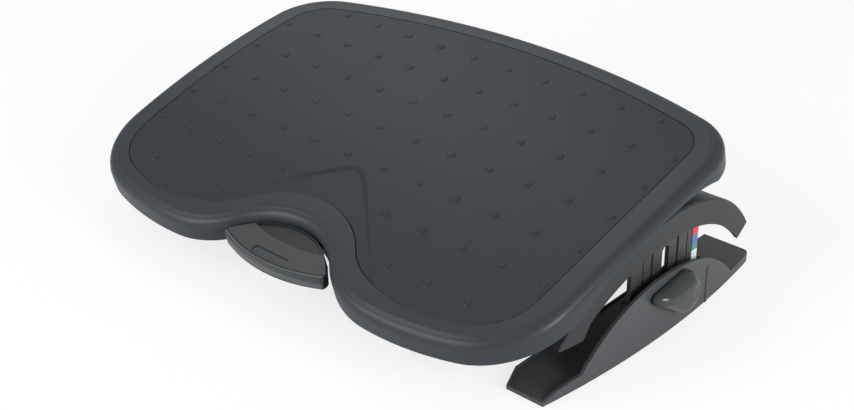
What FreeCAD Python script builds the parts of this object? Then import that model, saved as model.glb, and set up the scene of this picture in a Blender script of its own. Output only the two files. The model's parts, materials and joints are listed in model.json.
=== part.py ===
import FreeCAD, Part
import math
import os

os.makedirs("parts", exist_ok=True)
V = FreeCAD.Vector

# A tilting under desk footrest, in millimetres.
# +X runs to the user's right, +Y away from the user, +Z up. X = 0 is the plane of symmetry.
# The origin lies on the floor, under the middle of the footrest.

# Foot platform: a crowned tray, high at the back
platformTilt = 13.8         # slope of the crown's middle, in degrees
platformY = -7.6            # middle of the crown
platformZ = 112.5
crownRadius = 1460.0        # fore and aft curve of the whole platform
edgeDepth = 22.0            # height of the platform's edge
skinThickness = 3.0
wallThickness = 3.0
edgeRound = 10.5            # rolled upper edge
matThickness = 2.5
matGap = 0.45               # open seam round the mat
ribThickness = 2.0
ribDepth = 8.0

# Platform outline in its own plane: arcs, each written as a radius and where it lies
outerEdge = dict(back=194.0, backR=842.0, half=280.0, sideR=2024.0, sideY=-4.0,
                 lobeX=136.0, lobeY=131.0, lobeR=321.0, notchY=-136.5, notchR=80.0,
                 rearCornerR=68.0, frontCornerR=82.0, shoulderR=92.0)
matEdge = dict(back=170.0, backR=818.0, half=253.5, sideR=2000.0, sideY=-4.0,
               lobeX=157.0, lobeY=-8.0, lobeR=161.0, notchY=-107.5, notchR=96.0,
               rearCornerR=44.0, frontCornerR=53.0, shoulderR=70.0)

# Raised dots of the mat
dotPitchX = 44.4
dotPitchY = 45.75
dotY = -3.3                 # the row through the middle
dotRadius = 3.9
dotHeight = 0.9

# Side brackets: arched channels that carry the platform
bracketX = 280.0            # outer face at its widest
bracketBow = 1300.0         # plan curve of the outer face
bracketWall = 3.0
bracketWidth = 48.0
shoulderCut = 1.6           # bevel of the outer upper edge
archY = 36.5                # crown of the arch
archTop = 110.0
archFrontR = 195.0
archRearR = 160.0
archLower = 86.5            # crown of the lower edge
archLowerY = 32.5
archLowerFrontR = 190.0
archLowerRearR = 152.0
tipY = -112.5               # front tip of the bracket
tipDrop = 2.6               # tip below the end of the front arc
toeDrop = 4.1
toeY = -84.5                # end of the flat under the tip
heelY = -75.5               # where the lower arch starts
tailY = 165.5               # rear end
tailLowY = 146.5

# Tilt axle
axleY = archY
axleZ = 98.0
axleRadius = 5.0
axleReach = 8.0             # beyond the inner face of each bracket
clipRadius = 9.0
clipThickness = 1.2
runningGap = 0.06
tiltRange = 13.8            # back to level
sweepGap = 1.5              # air between the bracket and the platform's edge

# Cross beam between the brackets
beamHalfWidth = 21.0
beamTop = 88.0
beamDepth = 22.0
beamWall = 2.0

# Rack plates: they hang from the brackets and slide in the feet
rackX = 273.0               # outer face
rackThickness = 4.0
rackY = 31.5                # middle of the plate, slot and clamp
rackHalf = 50.0
rackBottom = 22.6
slotWidth = 10.0
slotTop = 76.8
toothPitch = 3.0
toothDepth = 1.3
toothCut = 1.6
toothOffset = 19.0          # from the slot's middle to each row of teeth
grooveOffset = 33.0
stripWidth = 8.5
stripTop = 84.0
stripBottom = 27.0
stripThickness = 0.4

# Feet
padHeight = 1.0             # rubber pads stand this far below the foot
footX = 287.0               # outer face of the cheek at its widest
footBow = 930.0
footBowY = 19.5
footWall = 3.0
footFront = -135.5
footRear = 173.5
footInner = 225.0
footToeX = 236.0
footChamferY = -110.5
footFloor = 2.6
cheekTop = 61.3
cheekFrontR = 131.0
cheekFrontY = 10.5
cheekRearR = 158.0
cheekRearY = 14.5
kinkY = -91.5
kinkZ = 12.0
lipY = -116.5
lipZ = 10.0
deckZ = 9.2
deckFront = 134.5
guideGap = 0.4

# Height clamp: knob, stud and toothed jaw
knobY = rackY
knobZ = 43.0
knobBase = 288.7
knobHeight = 14.5
knobRoundY = 35.0           # round end of the knob's leaf shape
knobRoundZ = 37.0
knobRound = 19.5
knobNoseY = -3.4            # pointed end
knobNoseZ = 46.4
knobNose = 5.2
knobEdge = 3.2              # bevel of the outer edge
knobCrown = 34.0            # barrel curve of the outer face
studRadius = 4.6
studHeadRadius = 8.0
studHead = 3.0
washerRadius = 10.0
washerThickness = 1.1
bushRadius = 8.0
jawGap = 0.3                # teeth to rack when eased
jawThickness = 6.0
jawTeeth = 3                # pitches above and below the stud
guideTop = 42.0

# Pedal in the notch, and its carrier, in the platform's own frame
pedalTop = -15.5
pedalSkirt = 13.0
pedalWall = 2.6
pedalFront = -188.5
pedalHalf = 62.0
pedalTipY = -177.0
pedalWaist = 45.0
pedalWaistY = -156.5
pedalGap = 2.5             # to the edge of the notch
dimpleHalf = 18.0           # oval dimple: from its middle to the middle of each end
dimpleR = 4.4
dimpleDepth = 1.3
pedalCrease = -159.0        # where the rear zone starts to dip
pedalDip = 1.2
pedalPinY = -112.0
pedalPinZ = -29.0
pedalPinR = 3.0
pedalArm = 24.0             # half width
pedalEye = 6.0
pedalLug = 15.8             # lug tip above the pin
lugHalf = 3.6
lugThick = 4.4
carrierHalf = 33.0
carrierFloor = -37.0
carrierWall = 2.5
carrierFront = -130.0
carrierRear = -62.0
bossX = 38.0
bossYs = (-124.0, -92.0)
bossLow = -26.0
springX = 15.0
springY = -124.0
springReach = 3.6           # half width of the folded leaf spring
springHalf = 2.5
springWire = 0.5
springFolds = 4

pedalRearY = outerEdge["notchY"] - pedalGap

# Brake that holds the tilt
quadrantR = 42.0
quadrantHalf = 3.0
brakeTravel = 2.2


def arcThrough(a, b, c):
    return Part.Arc(a, b, c).toShape()


def circleMeet(c1, r1, c2, r2, prefer):
    """Where two circles cross, on the side that prefer points to."""
    gap = c2 - c1
    dist = gap.Length
    along = (r1 * r1 - r2 * r2 + dist * dist) / (2 * dist)
    up = math.sqrt(max(r1 * r1 - along * along, 0.0))
    ux = gap * (1 / dist)
    side = V(-ux.y, ux.x, 0)
    points = [c1 + ux * along + side * up, c1 + ux * along - side * up]
    return max(points, key=lambda p: p.dot(prefer))


def outlineFace(dims, grow=0.0, z=0.0):
    """The platform's outline as tangent arcs, moved outwards by grow."""
    back = V(0, dims["back"] - dims["backR"], 0)
    side = V(dims["half"] - dims["sideR"], dims["sideY"], 0)
    lobe = V(dims["lobeX"], dims["lobeY"], 0)
    notch = V(0, dims["notchY"] - dims["notchR"], 0)
    rear = circleMeet(back, dims["backR"] - dims["rearCornerR"],
                      side, dims["sideR"] - dims["rearCornerR"], V(1, 1, 0))
    front = circleMeet(side, dims["sideR"] - dims["frontCornerR"],
                       lobe, dims["lobeR"] - dims["frontCornerR"], V(1, -1, 0))
    shoulder = circleMeet(lobe, dims["lobeR"] - dims["shoulderR"],
                          notch, dims["notchR"] + dims["shoulderR"], V(1, -0.5, 0))
    chain = [(back, dims["backR"] + grow, 1), (rear, dims["rearCornerR"] + grow, 1),
             (side, dims["sideR"] + grow, 1), (front, dims["frontCornerR"] + grow, 1),
             (lobe, dims["lobeR"] + grow, 1), (shoulder, dims["shoulderR"] + grow, 1),
             (notch, dims["notchR"] - grow, -1)]
    joints = [V(0, back.y + chain[0][1], 0)]
    for (ca, ra, sa), (cb, rb, sb) in zip(chain, chain[1:]):
        away = (ca - cb) if ra < rb and sb > 0 else (cb - ca)
        away.normalize()
        if sb < 0:
            joints.append(ca + away * ra)
        elif ra < rb:
            joints.append(cb + away * rb)
        else:
            joints.append(ca + away * ra)
    joints.append(V(0, notch.y + chain[-1][1], 0))
    edges = []
    for (centre, radius, sign), start, end in zip(chain, joints, joints[1:]):
        middle = (start + end) * 0.5 - centre
        middle.normalize()
        edges.append((start, centre + middle * radius, end))
    lift = V(0, 0, z)
    right = [arcThrough(a + lift, b + lift, c + lift) for a, b, c in edges]
    flip = [[V(-p.x, p.y, z) for p in e] for e in reversed(edges)]
    left = [arcThrough(c, b, a) for a, b, c in flip]
    return Part.Face(Part.Wire(right + left))


def outlinePrism(dims, grow=0.0, low=-90.0, high=20.0):
    return outlineFace(dims, grow, low).extrude(V(0, 0, high - low))


def crown(depth):
    """The solid under the platform's crowned surface, lowered by depth."""
    return Part.makeCylinder(crownRadius - depth, 700, V(-350, 0, -crownRadius), V(1, 0, 0))


def crownZ(y, depth=0.0):
    return math.sqrt((crownRadius - depth) ** 2 - y * y) - crownRadius


def box(x0, x1, y0, y1, z0, z1):
    return Part.makeBox(x1 - x0, y1 - y0, z1 - z0, V(x0, y0, z0))


def rodX(x0, x1, y, z, radius):
    return Part.makeCylinder(radius, x1 - x0, V(x0, y, z), V(1, 0, 0))


def rodZ(x, y, z0, z1, radius):
    return Part.makeCylinder(radius, z1 - z0, V(x, y, z0), V(0, 0, 1))


def prismZ(x, y, z0, z1, radius, sides):
    """An upright prism with a regular outline."""
    corners = [2 * math.pi * k / sides for k in range(sides + 1)]
    ring = Part.makePolygon([V(x + radius * math.cos(a), y + radius * math.sin(a), z0) for a in corners])
    return Part.Face(ring).extrude(V(0, 0, z1 - z0))


def headZ(x, y, z0, z1):
    return prismZ(x, y, z0, z1, screwHead, 6)


def headX(x0, x1, y, z):
    head = headZ(0, 0, 0, x1 - x0)
    head.rotate(V(0, 0, 0), V(0, 1, 0), 90)
    head.translate(V(x0, y, z))
    return head


def onPlatform(shape):
    """From the platform's own frame to its place at rest."""
    shape = shape.copy()
    shape.rotate(V(0, 0, 0), V(1, 0, 0), platformTilt)
    shape.translate(V(0, platformY, platformZ))
    return shape


def toPlatform(y, z):
    """A point of the row frame, in the platform's own frame."""
    a = math.radians(platformTilt)
    dy = y - platformY
    dz = z - platformZ
    return dy * math.cos(a) + dz * math.sin(a), -dy * math.sin(a) + dz * math.cos(a)


def mirrored(shape):
    return shape.mirror(V(0, 0, 0), V(1, 0, 0))


def save(name, shape):
    if isinstance(shape, list):
        shape = Part.makeCompound(shape)
    shape.exportStep("parts/%s.step" % name)


pivotY, pivotZ = toPlatform(axleY, axleZ)
saddleXs = (52.0, 198.0)
saddleHalf = 8.0
saddleReach = 15.6
capDepth = 9.5
screwHead = 3.0
screwRise = 1.4
bossHalf = 3.6


# Platform
def makeShell():
    body = outlinePrism(outerEdge).common(crown(0)).cut(crown(edgeDepth))
    rim = [e for e in body.Edges if abs(e.CenterOfMass.z - crownZ(e.CenterOfMass.y)) < 1.0
           and e.BoundBox.ZMax > crownZ(194.0) - 1.0 and e.Length > 1.0]
    rim = [e for e in rim if all(abs(v.Z - crownZ(v.Y)) < 0.01 for v in e.Vertexes)]
    body = body.makeChamfer(0.63 * edgeRound, rim)
    body = body.makeChamfer(0.26 * edgeRound, rollEdges(body))
    skin = matThickness + skinThickness
    body = body.cut(outlinePrism(outerEdge, -edgeRound).common(crown(skin)))
    body = body.cut(outlinePrism(outerEdge, -wallThickness).common(crown(edgeRound + 1.0)))
    body = body.cut(outlinePrism(matEdge).common(crown(0)).cut(crown(matThickness)))
    ribZone = crown(skin - 0.2).cut(crown(skin + ribDepth)).common(outlinePrism(outerEdge, -wallThickness - 1.0))
    ribs = []
    for x in (60.0, 140.0, 215.0):
        for s in (-1, 1):
            ribs.append(box(s * x - ribThickness / 2, s * x + ribThickness / 2, -200, 200, -80, 10))
    for y in (-60.0, 90.0):
        ribs.append(box(-215, 215, y - ribThickness / 2, y + ribThickness / 2, -80, 10))
    ribs = ribs[0].fuse(ribs[1:]).common(ribZone)
    body = body.fuse(ribs)
    for x in saddleXs:
        for s in (-1, 1):
            block = box(s * x - saddleHalf, s * x + saddleHalf, pivotY - saddleReach, pivotY + saddleReach,
                        pivotZ + 0.1, -4.0).common(crown(skin - 0.2))
            body = body.fuse(block)
    body = body.cut(rodX(-300, 300, pivotY, pivotZ, axleRadius + runningGap))
    for x in (-bossX, bossX):
        for y in bossYs:
            body = body.fuse(box(x - bossHalf, x + bossHalf, y - bossHalf, y + bossHalf, bossLow, 0).common(
                crown(skin - 0.2)))
    body = body.cut(box(-pedalArm - 4, pedalArm + 4, pedalRearY - 2, pedalRearY + 12, -60, pedalTop - 5.0))
    body = onPlatform(body)
    sweep = bracketSweep()
    return body.cut(sweep).cut(mirrored(sweep)).removeSplitter()


def rollEdges(body):
    """The two long edges that the first cut of the rolled rim leaves all round."""
    step = 0.63 * edgeRound
    found = []
    for edge in body.Edges:
        drops = [crownZ(v.Y) - v.Z for v in edge.Vertexes]
        drops.append(crownZ(edge.CenterOfMass.y) - edge.CenterOfMass.z)
        if edge.Length < 2.0:
            continue
        if max(drops[:-1]) < 0.4 or min(drops[:-1]) > step - 0.9 and max(drops[:-1]) < step + 0.9:
            found.append(edge)
    return found


def bracketSweep():
    """The space that the right bracket needs over the whole tilt, with its air gap."""
    a = math.radians(tiltRange)
    hub = axleZ - (archTop - archRearR)
    front = V(archY, archTop - archFrontR, 0)
    rear = V(axleY + hub * math.sin(a), axleZ - hub * math.cos(a), 0)
    frontR = archFrontR + sweepGap
    rearR = archRearR + sweepGap
    meet = circleMeet(front, frontR, rear, rearR, V(0, 1, 0))

    def on(centre, radius, angle):
        return V(0, centre.x + radius * math.cos(angle), centre.y + radius * math.sin(angle))
    meetFront = math.atan2(meet.y - front.y, meet.x - front.x)
    meetRear = math.atan2(meet.y - rear.y, meet.x - rear.x)
    start = math.radians(150)
    end = math.radians(10)
    joint = on(front, frontR, meetFront)
    edges = [arcThrough(on(front, frontR, start), on(front, frontR, 0.5 * (start + meetFront)), joint),
             arcThrough(joint, on(rear, rearR, 0.5 * (meetRear + end)), on(rear, rearR, end)),
             Part.LineSegment(on(rear, rearR, end), on(front, frontR, start)).toShape()]
    face = Part.Face(Part.Wire(edges))
    face.translate(V(bracketX - bracketWidth - 3, 0, 0))
    return face.extrude(V(bracketWidth + 23, 0, 0))


def dotPlaces():
    places = []
    for row in range(-3, 4):
        for column in range(-6, 6):
            x = (column + 0.5) * dotPitchX
            reach = abs(column + 0.5)
            if row == 3 and reach > 5:
                continue
            if row == -2 and reach < 1:
                continue
            if row == -3 and (reach < 2 or reach > 5):
                continue
            places.append((x, dotY + row * dotPitchY))
    return places


def makeMat():
    mat = outlinePrism(matEdge, -matGap).common(crown(0)).cut(crown(matThickness))
    dots = []
    for x, y in dotPlaces():
        z = crownZ(y)
        dot = prismZ(x, y, z - 1.0, z + dotHeight, dotRadius, 6)
        dot.rotate(V(x, y, z), V(1, 0, 0), -math.degrees(math.asin(y / crownRadius)))
        dots.append(dot)
    return onPlatform(mat.fuse(dots))


def makeCap(x):
    cap = box(x - saddleHalf, x + saddleHalf, pivotY - saddleReach, pivotY + saddleReach,
              pivotZ - 4.5, pivotZ)
    cap = cap.fuse(rodX(x - saddleHalf, x + saddleHalf, pivotY, pivotZ, capDepth).common(
        box(x - 20, x + 20, pivotY - 20, pivotY + 20, pivotZ - 20, pivotZ)))
    cap = cap.cut(rodX(x - 20, x + 20, pivotY, pivotZ, axleRadius + runningGap))
    return onPlatform(cap)


def makeCapScrews():
    screws = []
    for x in saddleXs:
        for s in (-1, 1):
            for t in (-1, 1):
                y = pivotY + t * (saddleReach - 3.6)
                screws.append(onPlatform(headZ(s * x, y, pivotZ - 4.5 - screwRise, pivotZ - 4.5)))
    return screws


# Brackets and their cross beam
def archWire(lower=0.0):
    """Side view of a bracket, tip to tail, in the Y-Z plane."""
    def top(y, radius):
        return archTop - radius + math.sqrt(radius ** 2 - (y - archY) ** 2)

    def under(y, radius):
        return archLower - radius + math.sqrt(radius ** 2 - (y - archLowerY) ** 2)
    crownPoint = V(0, archY, archTop)
    tail = V(0, tailY, top(tailY, archRearR))
    tailLow = V(0, tailLowY, under(tailLowY, archLowerRearR))
    lowCrown = V(0, archLowerY, archLower)
    heel = V(0, heelY, under(heelY, archLowerFrontR))
    noseY = tipY + 2.0
    nose = V(0, noseY, top(noseY, archFrontR))
    tip = V(0, tipY, nose.z - tipDrop)
    toe = V(0, toeY, nose.z - toeDrop)
    middle = 0.5 * (noseY + archY)
    edges = [Part.LineSegment(tip, nose).toShape(),
             arcThrough(nose, V(0, middle, top(middle, archFrontR)), crownPoint)]
    middle = 0.5 * (archY + tailY)
    edges.append(arcThrough(crownPoint, V(0, middle, top(middle, archRearR)), tail))
    edges.append(Part.LineSegment(tail, tailLow).toShape())
    middle = 0.5 * (archLowerY + tailLowY)
    edges.append(arcThrough(tailLow, V(0, middle, under(middle, archLowerRearR)), lowCrown))
    middle = 0.5 * (archLowerY + heelY)
    edges.append(arcThrough(lowCrown, V(0, middle, under(middle, archLowerFrontR)), heel))
    edges.append(Part.LineSegment(heel, toe).toShape())
    edges.append(Part.LineSegment(toe, tip).toShape())
    return Part.Wire(edges)


def archPrism(x0, x1):
    face = Part.Face(archWire())
    face.translate(V(x0, 0, 0))
    return face.extrude(V(x1 - x0, 0, 0))


def archUnder(depth, x0, x1):
    """The space below the arch's upper surface, lowered by depth."""
    front = rodX(x0, x1, archY, archTop - archFrontR, archFrontR - depth)
    front = front.common(box(x0, x1, archY - 300, archY, -300, 300))
    rear = rodX(x0, x1, archY, archTop - archRearR, archRearR - depth)
    rear = rear.common(box(x0, x1, archY, archY + 300, -300, 300))
    return front.fuse(rear)


def bowSlab(inset, thickness, x0=200.0):
    """A slab with a bowed outer side, seen in plan."""
    outer = Part.makeCylinder(bracketBow - inset, 200, V(bracketX - bracketBow, archY, 0), V(0, 0, 1))
    slab = outer
    if thickness:
        inner = Part.makeCylinder(bracketBow - inset - thickness, 200,
                                  V(bracketX - bracketBow, archY, 0), V(0, 0, 1))
        slab = outer.cut(inner)
    return slab.common(box(x0, 300, -200, 250, 0, 200))


def makeBracket():
    inner = bracketX - bracketWidth
    whole = archPrism(inner, bracketX + 5)
    skirt = whole.common(bowSlab(0, bracketWall))
    flange = whole.common(bowSlab(0, 0)).cut(archUnder(bracketWall, inner - 1, bracketX + 6))
    web = archPrism(inner, inner + bracketWall)
    lug = box(inner, inner + bracketWall, axleY - beamHalfWidth - 3, axleY + beamHalfWidth + 3,
              beamTop - beamDepth - 2, archLower)
    rail = box(rackX - rackThickness - 4, rackX - rackThickness, rackY - 38, rackY + 38, 93, archTop)
    rail = rail.common(archUnder(bracketWall - 0.5, 200, 300))
    parts = [flange, web, lug, rail]
    for y in (-85.0, -58.0, -34.0, 100.0, 122.0, 142.0):
        rib = box(inner, bracketX + 2, y - 1, y + 1, 0, 130).common(whole).common(bowSlab(0, 0))
        rib = rib.cut(archUnder(14.0, 200, 300))
        parts.append(rib)
    body = skirt.fuse(parts)
    body = body.cut(rodX(200, inner + 10, axleY, axleZ, axleRadius + 0.02))
    top = [e for e in body.Edges if onBracketShoulder(e)]
    if top:
        body = body.makeChamfer(shoulderCut, top)
    return body


def onBracketShoulder(edge):
    """The outer upper edge of the bracket, from tip to tail."""
    if edge.Length < 60:
        return False
    for t in (0.1, 0.5, 0.9):
        p = edge.valueAt(edge.FirstParameter + t * (edge.LastParameter - edge.FirstParameter))
        radius = archFrontR if p.y < archY else archRearR
        surface = archTop - radius + math.sqrt(max(radius ** 2 - (p.y - archY) ** 2, 0))
        bow = bracketX - bracketBow + math.sqrt(bracketBow ** 2 - (p.y - archY) ** 2)
        if abs(p.z - surface) > 0.05 or abs(p.x - bow) > 0.05:
            return False
    return True


rackScrewYs = (rackY - 27.0, rackY, rackY + 27.0)
rackScrewZ = 99.0


def toothLine(y, z0, z1, phase, depth, gap=0.0):
    """A zigzag edge: teeth of one pitch between two heights."""
    points = []
    count = int(round((z1 - z0) / (toothPitch / 2)))
    for i in range(count + 1):
        out = depth if (i + phase) % 2 else 0.0
        points.append(V(0, y + out + gap, z0 + i * toothPitch / 2))
    return points


toothWidth = 3.0


def toothSlab(y, z0, z1, x0, x1, shrink=0.0):
    """A strip whose rear side is a zigzag, used as a groove or as the pad that fits it."""
    zig = toothLine(y, z0, z1, 0, toothDepth, -shrink)
    front = y - toothWidth + shrink
    points = [V(0, front, z0)] + zig + [V(0, front, z1), V(0, front, z0)]
    face = Part.Face(Part.makePolygon(points))
    face.translate(V(x0, 0, 0))
    return face.extrude(V(x1 - x0, 0, 0))


rackToothLow = knobZ - 9 * toothPitch
rackToothHigh = knobZ + 13 * toothPitch


def makeRack():
    x0 = rackX - rackThickness
    plate = box(x0, rackX, rackY - rackHalf, rackY + rackHalf, rackBottom, archTop)
    plate = plate.common(archUnder(bracketWall + 0.1, x0 - 1, rackX + 1))
    slot = box(x0 - 1, rackX + 1, rackY - slotWidth / 2, rackY + slotWidth / 2,
               rackBottom - 1, slotTop - slotWidth / 2)
    slot = slot.fuse(rodX(x0 - 1, rackX + 1, rackY, slotTop - slotWidth / 2, slotWidth / 2))
    plate = plate.cut(slot)
    for s in (-1, 1):
        groove = toothSlab(rackY + s * toothOffset, rackToothLow, rackToothHigh, rackX - toothCut, rackX + 1)
        plate = plate.cut(groove)
        line = box(rackX - 1.0, rackX + 1, rackY + s * grooveOffset - 0.7, rackY + s * grooveOffset + 0.7,
                   rackBottom - 1, slotTop + 2)
        plate = plate.cut(line)
    return plate


def makeStrip():
    edge = rackY + rackHalf
    return box(rackX, rackX + stripThickness, edge - stripWidth - 0.5, edge - 0.5, stripBottom, stripTop)


def makeRackScrews():
    screws = [headX(rackX, rackX + screwRise, y, rackScrewZ) for y in rackScrewYs]
    return screws + [mirrored(s) for s in screws]


def makeBeam():
    end = bracketX - bracketWidth
    low = beamTop - beamDepth
    outer = box(-end, end, axleY - beamHalfWidth, axleY + beamHalfWidth, low, beamTop)
    hollow = box(-end + beamWall, end - beamWall, axleY - beamHalfWidth + beamWall,
                 axleY + beamHalfWidth - beamWall, low - 1, beamTop - beamWall)
    beam = outer.cut(hollow)
    for x in (-150.0, -90.0, 90.0, 150.0):
        beam = beam.cut(rodZ(x, axleY, beamTop - 5, beamTop + 5, 9.0))
    return beam


def makeBeamScrews():
    face = bracketX - bracketWidth - beamWall
    screws = []
    for y in (axleY - 13, axleY + 13):
        for z in (beamTop - 6, beamTop - beamDepth + 6):
            screws.append(headX(face - screwRise, face, y, z))
    return screws + [mirrored(s) for s in screws]


def makeAxle():
    reach = bracketX - bracketWidth + axleReach
    return rodX(-reach, reach, axleY, axleZ, axleRadius)


def makeClips():
    """Push-on retainers at the axle's two ends."""
    x = bracketX - bracketWidth + bracketWall + 0.3
    clip = prismZ(0, 0, 0, clipThickness, clipRadius, 6)
    clip.rotate(V(0, 0, 0), V(0, 1, 0), 90)
    clip.translate(V(x, axleY, axleZ))
    clip = clip.cut(rodX(x - 1, x + 5, axleY, axleZ, axleRadius))
    return [clip, mirrored(clip)]


def wedge(centreY, centreZ, radius, low, high, x0, x1):
    """A slice of a disc towards -Y, from low to high degrees below level."""
    points = [V(x0, centreY, centreZ)]
    for angle in (low, high):
        a = math.radians(angle)
        points.append(V(x0, centreY - radius * math.cos(a), centreZ - radius * math.sin(a)))
    a = math.radians(0.5 * (low + high))
    mid = V(x0, centreY - radius * math.cos(a), centreZ - radius * math.sin(a))
    wire = Part.Wire([Part.LineSegment(points[0], points[1]).toShape(),
                      arcThrough(points[1], mid, points[2]),
                      Part.LineSegment(points[2], points[0]).toShape()])
    return Part.Face(wire).extrude(V(x1 - x0, 0, 0))


brakeLow = -4.0             # the lining's reach above the pivot's level, in platform degrees
brakeHigh = 14.0


def makeQuadrant():
    low = platformTilt + brakeLow - tiltRange - 2.0
    high = platformTilt + brakeHigh + 2.0
    plate = wedge(axleY, axleZ, quadrantR, low, high, -quadrantHalf, quadrantHalf)
    hub = rodX(-12, 12, axleY, axleZ, 9.0)
    stem = box(-12, 12, axleY - 8, axleY + 8, beamTop, axleZ)
    foot = box(-14, 14, axleY - 17.5, axleY + 17.5, beamTop, beamTop + 3)
    body = plate.fuse([hub, stem, foot])
    body = body.cut(rodX(-20, 20, axleY, axleZ, axleRadius + 0.02))
    body = body.cut(box(-20, 20, axleY - beamHalfWidth, axleY + beamHalfWidth, beamTop - beamDepth, beamTop))
    for s in (-1, 1):
        for t in (-1, 1):
            x = s * 9.0
            y = axleY + t * 13
            body = body.cut(box(x - 3.4, x + 5.2, y - 3.4, y + 3.4, beamTop + 3, beamTop + 12) if s > 0 else
                            box(x - 5.2, x + 3.4, y - 3.4, y + 3.4, beamTop + 3, beamTop + 12))
    return body


def makeQuadrantScrews():
    face = beamTop + 3
    return [headZ(s * 9.0, axleY + t * 13, face, face + screwRise) for s in (-1, 1) for t in (-1, 1)]


# Brake slider, pedal and their housing, all in the platform's frame
sliderLow = pivotZ - 10.0
sliderHigh = pivotZ + 0.5
sliderHalf = 9.0


def makeLining():
    outer = quadrantR + 3.4
    pad = rodX(-8, 8, pivotY, pivotZ, outer).cut(rodX(-9, 9, pivotY, pivotZ, quadrantR + 0.4))
    return onPlatform(pad.common(wedge(pivotY, pivotZ, outer + 5, brakeLow, brakeHigh, -8, 8)))


def makeSlider():
    rear = pivotY - quadrantR - 3.4
    front = pedalPinY + pedalEye + brakeTravel + 0.6
    bar = box(-sliderHalf, sliderHalf, front + 6, rear + 2.2, sliderLow + 4, sliderHigh - 2)
    bar = bar.cut(box(-4, 4, front + 26, rear - 12, sliderLow, sliderHigh + 3))
    head = box(-8, 8, rear - 5, rear + 4, sliderLow, pivotZ + 2.5)
    lugZ = pedalPinZ + pedalLug
    post = box(-6, 6, front, front + 8, sliderLow + 4, lugZ + 2.2)
    prong = box(-6, 6, pedalPinY - 5.4, front, lugZ - 2.2, lugZ + 2.2)
    prong = prong.cut(box(-lugHalf - 0.4, lugHalf + 0.4, pedalPinY - lugThick / 2 - 0.45,
                          pedalPinY + lugThick / 2 + 0.45, -40, 0))
    body = bar.fuse([head, post, prong]).cut(rodX(-20, 20, pivotY, pivotZ, quadrantR + 3.4))
    return onPlatform(body.removeSplitter())


# Pedal
def pedalOutline(inset=0.0):
    """Front arc, rounded tips, drawn-in sides and a rear arc that follows the notch."""
    half = pedalHalf - inset
    centre = outerEdge["notchY"] - outerEdge["notchR"]
    rearR = outerEdge["notchR"] - pedalGap - inset
    waist = V(pedalWaist - inset, 0, 0)
    waist.y = centre + math.sqrt(rearR ** 2 - waist.x ** 2)
    tip = V(half, pedalTipY + inset, 0)
    turn = V(half + 0.9, pedalTipY + 4.2, 0)
    side = V(half - 0.6, pedalTipY + 8.2 - inset, 0)

    def flip(p):
        return V(-p.x, p.y, 0)
    edges = [arcThrough(flip(tip), V(0, pedalFront + inset, 0), tip),
             arcThrough(tip, turn, side),
             Part.LineSegment(side, waist).toShape(),
             arcThrough(waist, V(0, centre + rearR, 0), flip(waist)),
             Part.LineSegment(flip(waist), flip(side)).toShape(),
             arcThrough(flip(side), flip(turn), flip(tip))]
    return Part.Face(Part.Wire(edges))


def pedalPrism(inset, low, high):
    face = pedalOutline(inset)
    face.translate(V(0, 0, low))
    return face.extrude(V(0, 0, high - low))


def makePedal():
    low = pedalTop - pedalSkirt
    body = pedalPrism(0.0, low, pedalTop)
    body = body.cut(pedalPrism(pedalWall, low - 1, pedalTop - pedalWall - pedalDip))
    dip = Part.makeCylinder(170.0, 12, V(0, pedalCrease + 170.0, pedalTop - pedalDip), V(0, 0, 1))
    body = body.cut(dip.common(pedalPrism(1.2, pedalTop - pedalDip, pedalTop + 5)))
    y = pedalFront + 10.5
    dimple = box(-dimpleHalf, dimpleHalf, y - dimpleR, y + dimpleR, pedalTop - dimpleDepth, pedalTop + 1)
    for x in (-dimpleHalf, dimpleHalf):
        dimple = dimple.fuse(rodZ(x, y, pedalTop - dimpleDepth, pedalTop + 1, dimpleR))
    body = body.cut(dimple)
    arm = box(-pedalArm, pedalArm, pedalRearY - 8, pedalPinY, pedalTop - 11.5, pedalTop - 5.5)
    eye = rodX(-pedalArm, pedalArm, pedalPinY, pedalPinZ, pedalEye)
    lug = box(-lugHalf, lugHalf, pedalPinY - lugThick / 2, pedalPinY + lugThick / 2, pedalPinZ,
              pedalPinZ + pedalLug)
    lug = lug.fuse(rodX(-lugHalf, lugHalf, pedalPinY, pedalPinZ + pedalLug, lugThick / 2))
    body = body.fuse([arm, eye, lug])
    for x in (-40.0, -12.0, 12.0, 40.0):
        rib = box(x - 0.9, x + 0.9, pedalFront + 2, pedalRearY - 8, low + 3, pedalTop - pedalWall)
        body = body.fuse(rib.common(pedalPrism(1.0, low, pedalTop - 1)))
    body = body.cut(rodX(-80, 80, pedalPinY, pedalPinZ, pedalPinR + runningGap))
    return onPlatform(body.removeSplitter())


def makePedalPin():
    return onPlatform(rodX(-carrierHalf - 1, carrierHalf + 1, pedalPinY, pedalPinZ, pedalPinR))


def makeCarrier():
    floor = box(-carrierHalf, carrierHalf, carrierFront, carrierRear, carrierFloor, carrierFloor + 2)
    parts = []
    for s in (-1, 1):
        near, far = sorted((s * carrierHalf, s * (carrierHalf - carrierWall)))
        parts.append(box(near, far, carrierFront, carrierRear, carrierFloor, bossLow))
        near, far = sorted((s * (carrierHalf - carrierWall), s * (bossX + 5)))
        parts.append(box(near, far, bossYs[0] - 5, bossYs[1] + 5, bossLow - 2.0, bossLow))
        near, far = sorted((s * (sliderHalf + 0.4), s * (sliderHalf + 2.4)))
        parts.append(box(near, far, pedalPinY + 15, carrierRear, carrierFloor, sliderHigh + 0.4))
        near, far = sorted((s * (sliderHalf - 2.5), s * (sliderHalf + 2.4)))
        parts.append(box(near, far, pedalPinY + 15, carrierRear, sliderHigh - 1.6, sliderHigh + 0.4))
        parts.append(box(near, far, pedalPinY + 15, carrierRear, carrierFloor, sliderLow + 3.7))
    body = floor.fuse(parts)
    body = body.cut(rodX(-60, 60, pedalPinY, pedalPinZ, pedalPinR + 0.02))
    return onPlatform(body.removeSplitter())


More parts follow.
